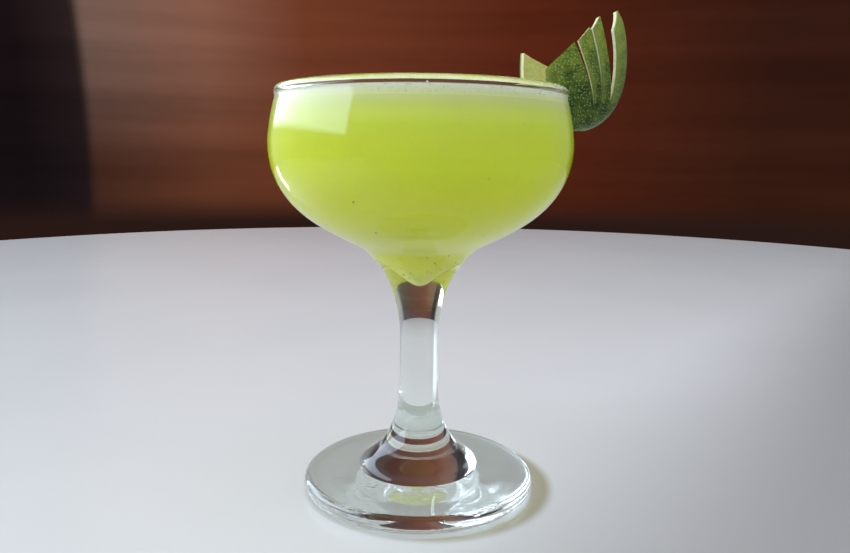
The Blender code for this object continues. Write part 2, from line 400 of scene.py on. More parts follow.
world = bpy.data.worlds.new("backdrop")
world.use_nodes = True
scene.world = world
tree = world.node_tree
way = add_node(tree, "ShaderNodeTexCoord").outputs["Generated"]
parts = add_node(tree, "ShaderNodeSeparateXYZ")
tree.links.new(way, parts.inputs[0])
across = ranged(tree, parts.outputs["X"], *VIEW_SPAN, smooth=False)
upward = ranged(tree, parts.outputs["Z"], *VIEW_RISE)
browns = blend_colours(tree, upward, ramp(tree, across, LOW_BROWNS),
                       ramp(tree, across, HIGH_BROWNS))
print("colours across the view:", len(HIGH_BROWNS) + len(LOW_BROWNS))

# %% Its streaks, and the pale parts beside and behind the camera
STREAK_STRETCH = (1.2, 1.2, 17.0)
OVER_TABLE = (0.022, 0.010, 0.008)
PALE_LEFT = (0.50, 0.51, 0.52)
PALE_RIGHT = (0.26, 0.26, 0.27)
PALE_BEHIND = (0.45, 0.45, 0.45)

stretch = add_node(tree, "ShaderNodeMapping", {"Scale": STREAK_STRETCH})
tree.links.new(way, stretch.inputs["Vector"])
streaks = add_node(tree, "ShaderNodeTexNoise", {"Scale": 1.6, "Detail": 3.0})
tree.links.new(stretch.outputs["Vector"], streaks.inputs["Vector"])
glow = varied(tree, browns, streaks.outputs["Fac"], (0.3, 0.7), 0.82, 1.18)
glow = blend_colours(tree, ranged(tree, parts.outputs["Z"], -0.085, -0.045), OVER_TABLE, glow)
for axis, start, end, colour in (("X", -0.54, -0.68, PALE_LEFT), ("X", 0.54, 0.68, PALE_RIGHT),
                                 ("Y", 0.1, -0.5, PALE_BEHIND)):
    glow = blend_colours(tree, ranged(tree, parts.outputs[axis], start, end), glow, colour)
tree.links.new(glow, tree.nodes["Background"].inputs["Color"])
print("nodes in the backdrop:", len(tree.nodes))

# %% [markdown]
# ## The lights
#
# Daylight from a wide window on the left does two things: it draws a soft bright rectangle
# on the bowl, and it lights the drink and the table. One lamp could do both, but then
# neither could be set alone. So the window panel shows only in gloss and through the glass,
# and three day panels, from the left, from above and from the right, give only soft light.
# A small low panel adds the narrow gleam on the bowl's lower left, and it reaches only the
# glass, so that the table doesn't mirror it. Area lights are used because a glass mirrors
# their shape, and they are hidden from the camera itself.

# %% A soft panel of light


def soft_light(name, place, aim, size, power, colour=(1.0, 1.0, 1.0)):
    """A rectangular panel that the camera itself doesn't see."""
    light = bpy.data.lights.new(name, "AREA")
    light.shape = "RECTANGLE"
    light.size, light.size_y = size
    light.energy = power
    light.color = colour
    lamp = put_in_scene(name, light)
    lamp.location = place
    facing = (Vector(aim) - Vector(place)).normalized()
    lamp.rotation_euler = facing.to_track_quat("-Z", "Y").to_euler()
    lamp.visible_camera = False
    print(name, "has", power, "watts")
    return lamp


def soften(lamp, edge, dim_side):
    """Fades an upright panel, which faces along X, towards its edges, and dims its near side."""
    lamp.data.use_nodes = True
    tree = lamp.data.node_tree
    face = add_node(tree, "ShaderNodeNewGeometry")
    parts = add_node(tree, "ShaderNodeSeparateXYZ")
    tree.links.new(face.outputs["Position"], parts.inputs[0])
    left = lamp.location.y - lamp.data.size / 2
    right = lamp.location.y + lamp.data.size / 2
    low = lamp.location.z - lamp.data.size_y / 2
    high = lamp.location.z + lamp.data.size_y / 2
    slope = add_node(tree, "ShaderNodeMapRange",
                     {"From Min": left, "From Max": right, "To Min": dim_side, "To Max": 1.0})
    tree.links.new(parts.outputs["Y"], slope.inputs["Value"])
    total = slope.outputs[0]
    for axis, start, end in (("Y", left, left + edge), ("Y", right, right - edge),
                             ("Z", low, low + edge), ("Z", high, high - edge)):
        total = multiplied(tree, total, ranged(tree, parts.outputs[axis], start, end))
    tree.links.new(total, tree.nodes["Emission"].inputs["Strength"])


# %% The window, the day and the narrow gleam
WINDOW_GLEAM = 23.0
WINDOW_SIZE = (2.0, 0.66)
WINDOW_TINT = (0.64, 0.80, 1.0)
DAY_LEFT = 4.0
DAY_ABOVE = 27.0
DAY_RIGHT = 2.2
DAY_TINT = (0.97, 0.98, 1.0)
SHEEN_POWER = 0.016
SHEEN_SIZE = (0.022, 0.055)

window = soft_light("window_left", (-1.0, 0.2, 0.58), (0.0, 0.2, 0.58), WINDOW_SIZE,
                    WINDOW_GLEAM, WINDOW_TINT)
window.visible_diffuse = False
soften(window, 0.1, 0.8)
for name, place, aim, size, power in (
        ("day_left", (-1.0, 0.0, 0.63), (0.0, 0.0, 0.63), (1.8, 0.54), DAY_LEFT),
        ("day_above", (-0.2, 0.05, 1.5), (0.0, 0.1, 0.0), (1.6, 1.6), DAY_ABOVE),
        ("day_right", (1.2, -0.4, 0.6), (0.0, 0.0, 0.1), (1.0, 0.8), DAY_RIGHT)):
    day = soft_light(name, place, aim, size, power, DAY_TINT)
    day.visible_glossy = False
    day.visible_transmission = False
sheen = soft_light("sheen_left", (-0.197, 0.154, 0.04), (0.0, 0.0, 0.1), SHEEN_SIZE,
                   SHEEN_POWER)
sheen.visible_diffuse = False
sheen.visible_transmission = False
gets_sheen = bpy.data.collections.new("gets_sheen")
sheen.light_linking.receiver_collection = gets_sheen

# %% [markdown]
# ## The glass
#
# The real glass is pressed in one piece: a deep bowl with a small bead at its rim, a knee
# where the bowl meets the stem, a short thick stem and a heavy round foot. It could be drawn
# out of a rough cage of faces, but it is round all over, so a lathe gives it exactly, and a
# fine profile keeps the reflections free of facets. The pulls of each curve are the ones
# that the measured model uses.

# %% Sizes of the glass
FOOT_RADIUS = 36.2
FOOT_EDGE_HEIGHT = 5.3
FOOT_EDGE_REACH = 3.0
FOOT_RISE = (18.8, 6.9)
BELL = (12.7, 12.9)
STEM_RADIUS = 6.0
STEM_LOW = 33.5
STEM_HIGH = 48.5
KNEE = (17.0, 75.3)
BOWL_RADIUS = 45.05
BOWL_HEIGHT = 106.3
RIM_RADIUS = 42.0
RIM_BEAD = 0.95
RIM_BEAD_HALF_HEIGHT = 1.65
RIM_HEIGHT = 122.75
NECK = (42.75, 119.9)
TIP_HEIGHT = 66.3
WELL = (12.0, 79.4)
SHOULDER = (29.4, 83.6)
INNER_RADIUS = 43.1
INNER_NECK = (41.15, 120.9)
GLASS_TURNS = 224
print("height of the rim:", RIM_HEIGHT)

# %% The glass's profile and body


def inside_of_bowl(fine):
    """The inner wall, from the pointed bottom of the well up to the rim."""
    tip = (0.0, TIP_HEIGHT)
    widest = (INNER_RADIUS, BOWL_HEIGHT)
    points = [tip]
    points += curve(tip, (2.4, TIP_HEIGHT), (5.2, 75.0), WELL, 7 * fine)
    points += curve(WELL, (16.5, 82.3), (26.1, 82.2), SHOULDER, 3 * fine)
    points += curve(SHOULDER, (38.5, 90.4), (INNER_RADIUS, 96.0), widest, 8 * fine)
    points += curve(widest, (INNER_RADIUS, 110.5), (41.8, 116.8), INNER_NECK, 4 * fine)
    return points


def outside_of_glass(fine):
    """From the rim down the bowl, the stem and the foot, and along the underside."""
    widest = (BOWL_RADIUS, BOWL_HEIGHT)
    top = (STEM_RADIUS, STEM_HIGH)
    low = (STEM_RADIUS, STEM_LOW)
    flat = (FOOT_RADIUS - FOOT_EDGE_REACH, FOOT_EDGE_HEIGHT)
    points = [NECK]
    points += curve(NECK, (43.6, 117.2), (BOWL_RADIUS, 110.6), widest, 4 * fine)
    points += curve(widest, (BOWL_RADIUS, 85.0), (21.7, 79.0), KNEE, 11 * fine)
    points += curve(KNEE, (7.8, 67.5), (6.1, 55.5), top, 8 * fine)
    points += curve(top, (STEM_RADIUS, 43.5), (STEM_RADIUS, 38.5), low, 2 * fine)
    points += curve(low, (STEM_RADIUS, 23.5), (9.0, 16.5), BELL, 7 * fine)
    points += curve(BELL, (15.2, 10.5), (18.5, 9.2), FOOT_RISE, 4 * fine)
    points += curve(FOOT_RISE, (22.5, 6.5), (29.0, 5.6), flat, 4 * fine)
    points += arc((flat[0], FOOT_EDGE_HEIGHT / 2), FOOT_EDGE_REACH, FOOT_EDGE_HEIGHT / 2,
                  80, -90, 7 * fine)
    points += [(radius, 0.0) for radius in (30.0, 24.0, 16.0, 8.0, 0.0)]
    return points


bead_middle = (RIM_RADIUS, RIM_HEIGHT - RIM_BEAD_HALF_HEIGHT)
bead = arc(bead_middle, RIM_BEAD, RIM_BEAD_HALF_HEIGHT, 180, -25, 20)
glass_profile = inside_of_bowl(3) + bead + outside_of_glass(3)
glass = turn_on_lathe("coupe_glass", glass_profile, GLASS_TURNS)
print("points in the profile:", len(glass_profile))

# %% [markdown]
# ## The finish of the glass
#
# What makes clear glass real are its faults. Pressed glass is faintly wavy, a washed glass
# has worn spots that are a little less glossy, and its foot has short hair-fine scratches.
# They could be carved, but they are far finer than the mesh, so the waves and scratches are
# relief in the shading, and the worn spots are in the roughness. The full transmission and
# the index of 1.52 are set on the shader's own sockets.

# %% Clear, faintly wavy, lightly scratched
GLASS_TINT = (0.905, 0.928, 0.895, 1.0)
GLASS_INDEX = 1.52
SCRATCHED_UP_TO = (9.0, 6.5)

glass_finish, tree, shader = new_finish("clear pressed glass")
shader.inputs["Base Color"].default_value = GLASS_TINT
shader.inputs["Transmission Weight"].default_value = 1.0
shader.inputs["IOR"].default_value = GLASS_INDEX
waves = grain(tree, 160.0, 2.0)
lines = share_ramp(tree, grain(tree, 75.0, 1.0), (0.490, 0.0), (0.500, 1.0), (0.510, 0.0))
broken = share_ramp(tree, grain(tree, 190.0, 2.0), (0.54, 0.0), (0.60, 1.0))
scratches = multiplied(tree, lines, broken)
scratches = multiplied(tree, scratches, height_share(tree, *SCRATCHED_UP_TO))
relief = add_node(tree, "ShaderNodeMath", operation="ADD")
tree.links.new(waves, relief.inputs[0])
tree.links.new(scratches, relief.inputs[1])
bump(tree, shader, relief.outputs[0], 0.06, 0.0004)
worn = share_ramp(tree, grain(tree, 60.0, 5.0), (0.45, 0.0), (0.75, 0.05))
tree.links.new(worn, shader.inputs["Roughness"])
dress(glass, glass_finish, "glass")
glass.visible_shadow = False
gets_sheen.objects.link(glass)

# %% [markdown]
# ## The drink
#
# The real drink touches the wall of the glass all over, and it fills the bowl and the
# pointed well up to the froth. Its body could end just at the wall, but then the two would
# share faces or leave a bright false gap of air. So it follows the glass's inner wall and
# reaches a hair into it.

# %% A profile that reaches into the wall
DRINK_LEVEL = 120.75
FROTH_BOTTOM = 117.75
INTO_WALL = 0.3
FILL_TURNS = 160
TOP_RING = 0.7


def moved_out(points, distance):
    """A profile pushed into the wall that it follows."""
    moved = []
    for index, (radius, height) in enumerate(points):
        before = points[max(index - 1, 0)]
        after = points[min(index + 1, len(points) - 1)]
        along = Vector((after[0] - before[0], after[1] - before[1])).normalized()
        if radius == 0.0:
            along = Vector((1.0, 0.0))
        moved.append((max(radius + along.y * distance, 0.0), height - along.x * distance))
    return moved


def radius_at(points, height):
    """The radius of a rising profile at one height."""
    for (low_r, low_z), (high_r, high_z) in zip(points, points[1:]):
        if low_z <= height <= high_z:
            return low_r + (high_r - low_r) * (height - low_z) / (high_z - low_z)
    return points[-1][0]


wall = moved_out(inside_of_bowl(3), INTO_WALL)
drink_edge = radius_at(wall, FROTH_BOTTOM)
drink_side = [point for point in wall if point[1] < FROTH_BOTTOM]
drink_profile = [(0.0, FROTH_BOTTOM), (drink_edge * TOP_RING, FROTH_BOTTOM)]
drink_profile += [(drink_edge, FROTH_BOTTOM)] + drink_side[::-1]
drink = turn_on_lathe("cloudy_drink", drink_profile, FILL_TURNS)
print("radius of the drink under the froth:", round(drink_edge, 2))

# %% [markdown]
# ## The finish of the drink
#
# Shaken lime juice is cloudy: light enters, wanders and comes out softened, so the drink
# glows a little. A plain painted colour would look like enamel. Subsurface scattering gives
# the glow, and it fades out towards the froth, which holds more air. A ramp up the height
# gives the colour and some painted light. It is lighter in the narrow well, partly from the
# thin layer of drink there and partly as painted light from the table below, and palest just
# under the froth, partly from the air there and partly as painted light from the top. A soft
# noise clouds it a little.

# %% Cloudy from the well to the froth
# Partly painted light: the paler colours low in the well and just under the froth.
DRINK_COLOURS_AND_PAINTED_LIGHT = [
    (66.0, (0.90, 0.97, 0.28)),
    (76.0, (0.95, 0.99, 0.085)),
    (84.0, (0.925, 0.99, 0.062)),
    (92.0, (0.90, 0.98, 0.054)),
    (100.0, (0.845, 0.925, 0.058)),
    (106.0, (0.765, 0.835, 0.066)),
    (111.0, (0.68, 0.77, 0.092)),
    (115.0, (0.72, 0.81, 0.19)),
    (118.0, (0.83, 0.90, 0.40)),
]
GLOW = 0.85
GLOW_FADES = (109.0, 117.5)
DRINK_INDEX = 1.14

drink_finish, tree, shader = new_finish("cloudy lime drink")
lowest, highest = DRINK_COLOURS_AND_PAINTED_LIGHT[0][0], DRINK_COLOURS_AND_PAINTED_LIGHT[-1][0]
stops = [((height - lowest) / (highest - lowest), colour) for height, colour in DRINK_COLOURS_AND_PAINTED_LIGHT]
body = ramp(tree, height_share(tree, lowest, highest, smooth=False), stops)
clouded = varied(tree, body, grain(tree, 45.0, 3.0), (0.0, 1.0), 0.975, 1.005)
tree.links.new(clouded, shader.inputs["Base Color"])
depth = add_node(tree, "ShaderNodeMapRange", {"From Min": 1.0, "From Max": 0.0, "To Max": GLOW})
tree.links.new(height_share(tree, *GLOW_FADES), depth.inputs["Value"])
tree.links.new(depth.outputs[0], shader.inputs["Subsurface Weight"])
shader.inputs["Subsurface Radius"].default_value = (1.0, 1.0, 0.5)
shader.inputs["Subsurface Scale"].default_value = 0.02
shader.inputs["Roughness"].default_value = 0.12
shader.inputs["IOR"].default_value = DRINK_INDEX
dress(drink, drink_finish, "drink")
drink.visible_shadow = False

# %% [markdown]
# ## The froth
#
# Shaking leaves a layer of very fine bubbles on the drink, about 3 mm thick. It could be a
# pale band painted on the drink, but then the two could never be told apart or changed. So
# it is a disc of its own, out to the wall. Its underside is a little inside the drink,
# because two faces in one plane would show as blotches.

# %% The body of the froth
FROTH_SUNK = 0.3
FROTH_RINGS = (0.3, 0.6, 0.8, 0.9, 0.95, 0.98, 1.0)

froth_edge = radius_at(wall, DRINK_LEVEL)
froth_profile = [(0.0, DRINK_LEVEL)] + [(froth_edge * share, DRINK_LEVEL) for share in FROTH_RINGS]
froth_profile += [point for point in wall[::-1] if FROTH_BOTTOM < point[1] < DRINK_LEVEL]
sunk = FROTH_BOTTOM - FROTH_SUNK
froth_profile += [(drink_edge, FROTH_BOTTOM), (drink_edge - FROTH_SUNK, sunk), (0.0, sunk)]
froth = turn_on_lathe("froth_layer", froth_profile, FILL_TURNS)
print("radius of the froth's top:", round(froth_edge, 2))

# %% [markdown]
# ## The finish of the froth
#
# Seen from the side, froth turns from pale green to nearly white towards its top, partly
# from its bubbles and partly as painted light from above. Seen from above it is uneven,
# with patches where the drink shines through, and it is darkest in a ring at the wall,
# where it is wet. One flat pale colour would look like paint, so the side and the top have
# their own colours, over a fine bump.

# %% Pale at the side, patched and dark at its rim on top
PALE_TO_WHITE = (118.2, 120.2)
TOP_STARTS = (120.45, 120.7)
WET_RING = (0.0365, 0.0405)
WET_COLOUR = (0.54, 0.52, 0.17)

froth_finish, tree, shader = new_finish("pale froth")
fizz = grain(tree, 900.0, 3.0, 0.6)
pale = ramp(tree, fizz, [(0.3, (0.86, 0.93, 0.44)), (0.7, (0.92, 0.96, 0.56))])
white = ramp(tree, fizz, [(0.3, (0.95, 0.97, 0.80)), (0.7, (0.98, 0.99, 0.92))])
# Whiter towards the top: partly the froth's bubbles and partly painted light from above.
whiter_upward = blend_colours(tree, height_share(tree, *PALE_TO_WHITE), pale, white)
patches = ramp(tree, grain(tree, 230.0, 6.0, 0.7), [
    (0.35, (0.54, 0.64, 0.27)), (0.5, (0.64, 0.73, 0.38)), (0.65, (0.76, 0.83, 0.55))])
place = add_node(tree, "ShaderNodeTexCoord")
from_axis = add_node(tree, "ShaderNodeVectorMath", operation="LENGTH")
tree.links.new(dimmed(tree, place.outputs["Object"], (1.0, 1.0, 0.0)), from_axis.inputs[0])
at_rim = ranged(tree, from_axis.outputs["Value"], *WET_RING)
top = blend_colours(tree, at_rim, patches, WET_COLOUR)
topped = blend_colours(tree, height_share(tree, *TOP_STARTS), whiter_upward, top)
tree.links.new(topped, shader.inputs["Base Color"])
bump(tree, shader, fizz, 0.35, 0.0002)
shader.inputs["Roughness"].default_value = 0.6
shader.inputs["Specular IOR Level"].default_value = 0.0
dress(froth, froth_finish, "froth")
froth.visible_shadow = False

# %% [markdown]
# ## Flecks of herb
#
# Shaking tears tiny flecks off the herb. They drift in the drink, and only those against the
# wall can be seen, most of them low in the bowl. They could be dots of colour, but a real
# fleck is a ragged flake that catches the light. So each is a small flat body that lies
# along the wall, with most of it sunk in the drink. A seeded rule strews them.

# %% One ragged flake
HERB_SUNK = 0.28
HERB_THICKNESS = 0.18
FLAKE_CORNERS = 6
SMALLEST_FLAKE = 0.06
FLAKE_SPREAD = 0.14
LOW_IN_BOWL = 0.42
FLAKES_FROM = 68.0
FLAKES_UP_TO = 112.0

chance = random.Random(31)
low_side = [point for point in inside_of_bowl(12) if FLAKES_FROM < point[1] < FLAKES_UP_TO]


def flake_corner(corner, size, long_way, lean):
    """How far up and along the wall a corner lies. The sine makes each outline ragged."""
    turn = 2 * math.pi * corner / FLAKE_CORNERS
    reach = size * (0.7 + 0.5 * math.sin(3.1 * corner + size * 90.0) ** 2)
    along = reach * long_way * math.cos(turn)
    across = reach * math.sin(turn)
    return (along * math.cos(lean) - across * math.sin(lean),
            along * math.sin(lean) + across * math.cos(lean))


def add_flake(net):
    """Adds a flake to the net, somewhere on the wall, most often low in the bowl."""
    at = min(int(abs(chance.gauss(0.0, LOW_IN_BOWL)) * len(low_side)), len(low_side) - 2)
    (radius, height), (next_radius, next_height) = low_side[at], low_side[at + 1]
    spin = Matrix.Rotation(chance.uniform(0.0, 2 * math.pi), 3, "Z")
    up = Vector((next_radius - radius, 0.0, next_height - height)).normalized()
    outward = Vector((up.z, 0.0, -up.x))
    sideways = Vector((0.0, 1.0, 0.0))
    size = SMALLEST_FLAKE + FLAKE_SPREAD * chance.random() ** 4
    long_way = chance.uniform(1.0, 2.2)
    lean = chance.uniform(0.0, math.pi)
    middle = Vector((radius, 0.0, height)) + outward * HERB_SUNK
    rings = []
    for side in (-0.5, 0.5):
        ring = []
        for corner in range(FLAKE_CORNERS):
            rise, aside = flake_corner(corner, size, long_way, lean)
            spot = middle + (up * rise + sideways * aside) + outward * side * HERB_THICKNESS
            ring.append(net.verts.new((spin @ spot) * MM))
        rings.append(ring)
    net.faces.new(rings[0][::-1])
    net.faces.new(rings[1])
    for i in range(FLAKE_CORNERS):
        j = (i + 1) % FLAKE_CORNERS
        net.faces.new((rings[0][i], rings[0][j], rings[1][j], rings[1][i]))


# %% Flakes strewn along the wall, in wet green
HERB_COUNT = 240

net = bmesh.new()
for _ in range(HERB_COUNT):
    add_flake(net)
bmesh.ops.recalc_face_normals(net, faces=net.faces)
mesh = bpy.data.meshes.new("herb_flecks")
net.to_mesh(mesh)
net.free()
flecks = put_in_scene("herb_flecks", mesh)

herb_finish, tree, shader = new_finish("wet herb")
tint = ramp(tree, grain(tree, 500.0), [(0.35, (0.028, 0.060, 0.010)), (0.65, (0.12, 0.17, 0.02))])
tree.links.new(tint, shader.inputs["Base Color"])
shader.inputs["Roughness"].default_value = 0.6
dress(flecks, herb_finish)

# %% [markdown]
# ## Bubbles in the froth
#
# Most of the froth is too fine to see, but single larger bubbles stand out of it: a loose
# band under the top, against the wall, and a scatter on the top, thicker towards the wall.
# They could be part of the bump, but the outline against the light would stay smooth.
# So they are round beads, more than half sunk, and one mesh holds them all.

# %% Where the beads sit
BAND_BUBBLES = 420
BAND_TOP = 0.25
BAND_DEPTH = 0.9
TOP_BUBBLES = 700
TOP_SPREAD = 0.3
BEAD_SUNK = 0.45
TOP_MARGIN = 0.6

beads = []
for _ in range(BAND_BUBBLES):
    angle = chance.uniform(0.0, 2 * math.pi)
    height = DRINK_LEVEL - BAND_TOP - abs(chance.gauss(0.0, BAND_DEPTH))
    size = 0.11 + 0.22 * chance.random() ** 2
    beads.append((angle, radius_at(wall, height) - BEAD_SUNK * size, height, size))
for _ in range(TOP_BUBBLES):
    angle = chance.uniform(0.0, 2 * math.pi)
    inward = min(abs(chance.gauss(0.0, TOP_SPREAD)), 1.0)
    size = 0.12 + 0.38 * chance.random() ** 3
    beads.append((angle, (froth_edge - TOP_MARGIN) * (1.0 - inward), DRINK_LEVEL, size))
print("bubbles:", len(beads))

# %% One mesh for all the beads, with a shining film
net = bmesh.new()
bmesh.ops.create_icosphere(net, subdivisions=2, radius=1.0)
bead_corners = [corner.co.copy() for corner in net.verts]
bead_faces = [[corner.index for corner in face.verts] for face in net.faces]
net.free()
corners = []
faces = []
for angle, reach, height, size in beads:
    spot = Vector((reach * math.cos(angle), reach * math.sin(angle), height))
    faces += [[len(corners) + index for index in face] for face in bead_faces]
    corners += [(spot + corner * size) * MM for corner in bead_corners]
mesh = bpy.data.meshes.new("froth_bubbles")
mesh.from_pydata(corners, [], faces)
mesh.shade_smooth()
bubbles = put_in_scene("froth_bubbles", mesh)

bubble_finish, tree, shader = new_finish("froth bubble")
film = ramp(tree, grain(tree, 1500.0), [(0.35, (0.68, 0.74, 0.46)), (0.65, (0.98, 0.99, 0.96))])
tree.links.new(film, shader.inputs["Base Color"])
shader.inputs["Roughness"].default_value = 0.15
dress(bubbles, bubble_finish)

# %% [markdown]
# ## The lime peel
#
# The garnish is a piece of lime hull: a thin shell of skin with pale pith inside, bent round
# like a letter C and slit into slanted fingers. It could be carved from a solid lime, but a
# sheet that follows the lime's own curve, thickened inward, keeps the peel the same all
# over, as a knife does. The slot that lets it stand on the rim is cut with a turned body.

# %% Sizes of the peel and its fingers
LIME_MIDDLE = Vector((45.8, 10.5, 133.0))
LIME_HALF_X = 17.4
LIME_HALF_Y = 10.0
LIME_HALF_DOWN = 21.7
LIME_HALF_UP = 26.0
LIME_SQUARENESS = 2.35
PEEL_THICKNESS = 1.5
SLIT_FOOT_HEIGHT = 119.4
PEEL_DIP_HEIGHT = 118.1
FINGERS = [
    dict(left=(-120.0, -121.4, 1.0), right=(-65.9, -93.0, 1.0), low=129.3, high=137.1,
         columns=9, turn=0.0),
    dict(left=(-64.4, -89.0, 1.0), right=(-56.7, -77.0, 1.0), low=137.6, high=141.5,
         columns=3, turn=6.0),
    dict(left=(-55.3, -74.5, 1.0), right=(-37.8, -63.0, 0.65), low=141.1, high=144.9,
         columns=4, turn=24.0),
    dict(left=(-35.6, -47.5, 0.5), right=(3.0, 4.0, 1.0), low=141.3, high=147.1,
         columns=6, turn=6.0),
    dict(left=(5.0, 5.0, 1.0), right=(149.0, 149.0, 1.0), low=122.9, high=135.8,
         columns=18, turn=0.0),
]
POINTED_FINGER = FINGERS[3]
print("parts of the peel above the slits:", len(FINGERS))

# %% The lime's own curve and the fingers on it
TIP_ACROSS = 1 / 3
TIP_FALL = 0.8
TWIST_RISE = 1.6


def lime_point(angle, height):
    """A point of the lime's skin, and the way out of the skin there."""
    rise = height - LIME_MIDDLE.z
    if rise < 0:
        width = (1 - (-rise / LIME_HALF_DOWN) ** LIME_SQUARENESS) ** (1 / LIME_SQUARENESS)
    else:
        width = math.sqrt(1 - (rise / LIME_HALF_UP) ** 2)
    turn = math.radians(angle)
    point = Vector((LIME_MIDDLE.x + LIME_HALF_X * width * math.cos(turn),
                    LIME_MIDDLE.y + LIME_HALF_Y * width * math.sin(turn), height))
    outward = Vector((math.cos(turn) / LIME_HALF_X, math.sin(turn) / LIME_HALF_Y, 0.0))
    return point, outward.normalized()


def edge_angle(edge, share):
    """Where a slit's edge is round the lime, at a share of its height."""
    foot, top, bend = edge
    return foot + (top - foot) * share ** bend


def front_share(finger, across):
    """How far a point of a finger's end is from its left to its right, seen from the front."""
    first = math.cos(math.radians(finger["left"][1]))
    last = math.cos(math.radians(finger["right"][1]))
    here = finger["left"][1] + (finger["right"][1] - finger["left"][1]) * across
    return (math.cos(math.radians(here)) - first) / (last - first)


def top_height(finger, across):
    """The slanted cut at a finger's end, straight from the front. One finger has a tip."""
    low = finger["low"]
    high = finger["high"]
    share = front_share(finger, across)
    if finger is POINTED_FINGER:
        tip = front_share(finger, TIP_ACROSS)
        if share > tip:
            return high - (high - low) * TIP_FALL * (share - tip) / (1 - tip)
        return low + (high - low) * share / tip
    return low + (high - low) * share


def finger_point(finger, across, up):
    """A point of one finger, with its twist: its left edge is turned outward."""
    height = SLIT_FOOT_HEIGHT + (top_height(finger, across) - SLIT_FOOT_HEIGHT) * up
    left = edge_angle(finger["left"], up)
    right = edge_angle(finger["right"], up)
    point, outward = lime_point(left + (right - left) * across, height)
    first, _ = lime_point(left, height)
    last, _ = lime_point(right, height)
    lift = math.tan(math.radians(finger["turn"])) * (0.5 - across) * (last - first).length
    return point + outward * lift * min(1.0, TWIST_RISE * up)


# %% The cup of skin below the slits
PEEL_FINE = 3
PEEL_TIP_CUT = 0.3
CUP_ROWS = 7


def cup_of_skin(net):
    """Adds the cup's faces, and returns the corners along its top edge."""
    lowest = math.acos(PEEL_TIP_CUT ** (LIME_SQUARENESS / 2))
    drop = (LIME_MIDDLE.z - SLIT_FOOT_HEIGHT) / LIME_HALF_DOWN
    highest = math.asin(drop ** (LIME_SQUARENESS / 2))
    columns = []
    for finger in FINGERS:
        count = finger["columns"] * PEEL_FINE
        columns += [(finger, step / count) for step in range(count + 1)]
    rows = []
    steps = CUP_ROWS * PEEL_FINE
    for row in range(steps + 1):
        tilt = lowest + (highest - lowest) * row / steps
        height = LIME_MIDDLE.z - LIME_HALF_DOWN * math.sin(tilt) ** (2 / LIME_SQUARENESS)
        ring = []
        for finger, share in columns:
            left = finger["left"][0]
            angle = left + (finger["right"][0] - left) * share
            ring.append(net.verts.new(lime_point(angle, height)[0] * MM))
        rows.append(ring)
    for lower, upper in zip(rows, rows[1:]):
        for i in range(len(columns) - 1):
            net.faces.new((lower[i], lower[i + 1], upper[i + 1], upper[i]))
    return rows[-1]


# %% The fingers above it, and the maps for the skin's pattern and its painted light
FINGER_ROWS = 8
GLAND_SPREAD = 0.8


def fingers_of_skin(net, cup_top):
    """Adds the fingers' faces, and returns how far across its finger each corner is."""
    start = 0
    shares = {}
    steps = FINGER_ROWS * PEEL_FINE
    for finger in FINGERS:
        count = finger["columns"] * PEEL_FINE
        below = cup_top[start:start + count + 1]
        for row in range(1, steps + 1):
            points = [finger_point(finger, s / count, row / steps) for s in range(count + 1)]
            above = [net.verts.new(point * MM) for point in points]
            shares.update((corner, s / count) for s, corner in enumerate(above))
            for i in range(count):
                net.faces.new((below[i], below[i + 1], above[i + 1], above[i]))
            below = above
        start += count + 1
    return shares


def map_skin(net, shares):
    """One map lays the glands evenly on the skin, the other runs across each finger for its
    painted light.
    """
    skin_map = net.loops.layers.uv.new("skin")
    across_map = net.loops.layers.uv.new("across")
    for face in net.faces:
        for loop in face.loops:
            rise = loop.vert.co.z / MM - LIME_MIDDLE.z
            out = loop.vert.co / MM - LIME_MIDDLE
            round_it = math.atan2(out.y / LIME_HALF_Y, out.x / LIME_HALF_X)
            loop[skin_map].uv = (round_it * LIME_HALF_X * GLAND_SPREAD, rise)
            loop[across_map].uv = (shares.get(loop.vert, 0.5), 0.0)


# %% The sheet, and its thickness
net = bmesh.new()
map_skin(net, fingers_of_skin(net, cup_of_skin(net)))
mesh = bpy.data.meshes.new("lime_peel_fan")
net.to_mesh(mesh)
net.free()
peel = put_in_scene("lime_peel_fan", mesh)
for layer in ("skin", "pith"):
    peel.data.materials.append(bpy.data.materials.new(layer))
shell = peel.modifiers.new("thickness", "SOLIDIFY")
shell.thickness = PEEL_THICKNESS * MM
shell.offset = -1.0
shell.use_even_offset = False
shell.material_offset = 1
shell.material_offset_rim = 1
print("faces in the sheet:", len(peel.data.polygons))

# %% The slot for the rim
SLOT_ROOM = 0.3
SLOT_CORNER = 0.6
KNIFE_REACH = 6.0
KNIFE_TURNS = 96

slot_wall = moved_out(inside_of_bowl(1), -SLOT_ROOM)
slot_inner = RIM_RADIUS - RIM_BEAD - SLOT_ROOM
slot_outer = RIM_RADIUS + RIM_BEAD + SLOT_ROOM
slot_top = RIM_HEIGHT + SLOT_ROOM
dip = radius_at(slot_wall, PEEL_DIP_HEIGHT)
slot_profile = [(0.0, PEEL_DIP_HEIGHT), (dip, PEEL_DIP_HEIGHT), (slot_inner, INNER_NECK[1])]
slot_profile += [(slot_inner, slot_top - SLOT_CORNER), (slot_inner + SLOT_CORNER, slot_top),
                 (slot_outer - SLOT_CORNER, slot_top), (slot_outer, slot_top - SLOT_CORNER)]
slot_profile += [(r + SLOT_ROOM, z) for r, z in outside_of_glass(1) if z > BOWL_HEIGHT - 1]
slot_profile += [(BOWL_RADIUS, BOWL_HEIGHT - KNIFE_REACH), (0.0, BOWL_HEIGHT - KNIFE_REACH)]
knife = turn_on_lathe("rim_knife", slot_profile, KNIFE_TURNS)
knife.data.materials.append(None)
slot = peel.modifiers.new("rim slot", "BOOLEAN")
slot.operation = "DIFFERENCE"
slot.object = knife
print("width of the slot:", round(slot_outer - slot_inner, 2))

